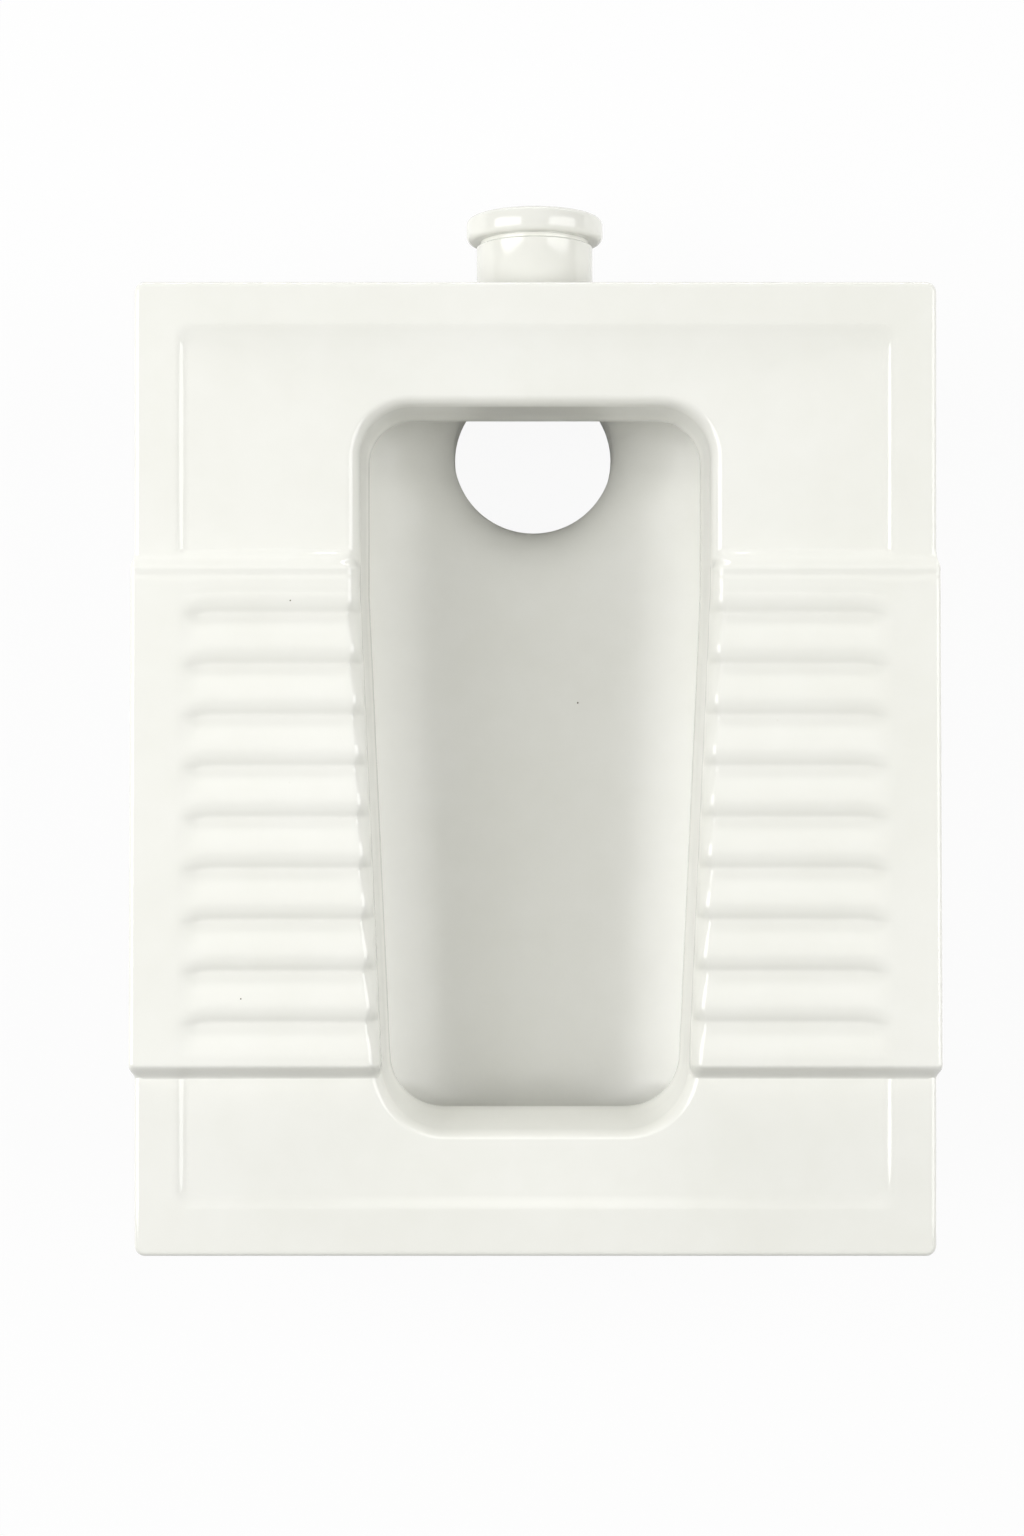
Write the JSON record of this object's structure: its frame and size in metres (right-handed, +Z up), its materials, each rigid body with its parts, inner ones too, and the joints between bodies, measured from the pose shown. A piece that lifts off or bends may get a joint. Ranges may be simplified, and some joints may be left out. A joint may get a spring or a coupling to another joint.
{
  "type": "squat toilet",
  "caption": "Oblong white vitreous-china squat pan with ribbed footrests, recessed drain panels, box-rim trough bowl, bottom waste outlet and collared flush inlet at the back.",
  "frame": {"origin": "middle of the pan's overall width and length, on the surface that it stands on", "axes": "+X to the user's left when squatting with the back to the inlet, which is to the right in a view from above with the inlet at the top; +Y to the back, where the inlet is; +Z up"},
  "size_m": [0.498, 0.651, 0.211],
  "materials": {
    "white_glaze": "gloss",
    "thin_glaze": "satin"
  },
  "bodies": {
    "root": {"deck": "white_glaze", "left_footrest": "white_glaze", "right_footrest": "white_glaze", "flush_rim": "white_glaze", "bowl": "white_glaze", "outlet_spigot": "white_glaze", "inlet_spigot": "white_glaze", "inlet_collar": "white_glaze", "flush_duct": "white_glaze", "front_foot": "thin_glaze", "left_web": "thin_glaze", "right_web": "thin_glaze"}
  },
  "joints": []
}
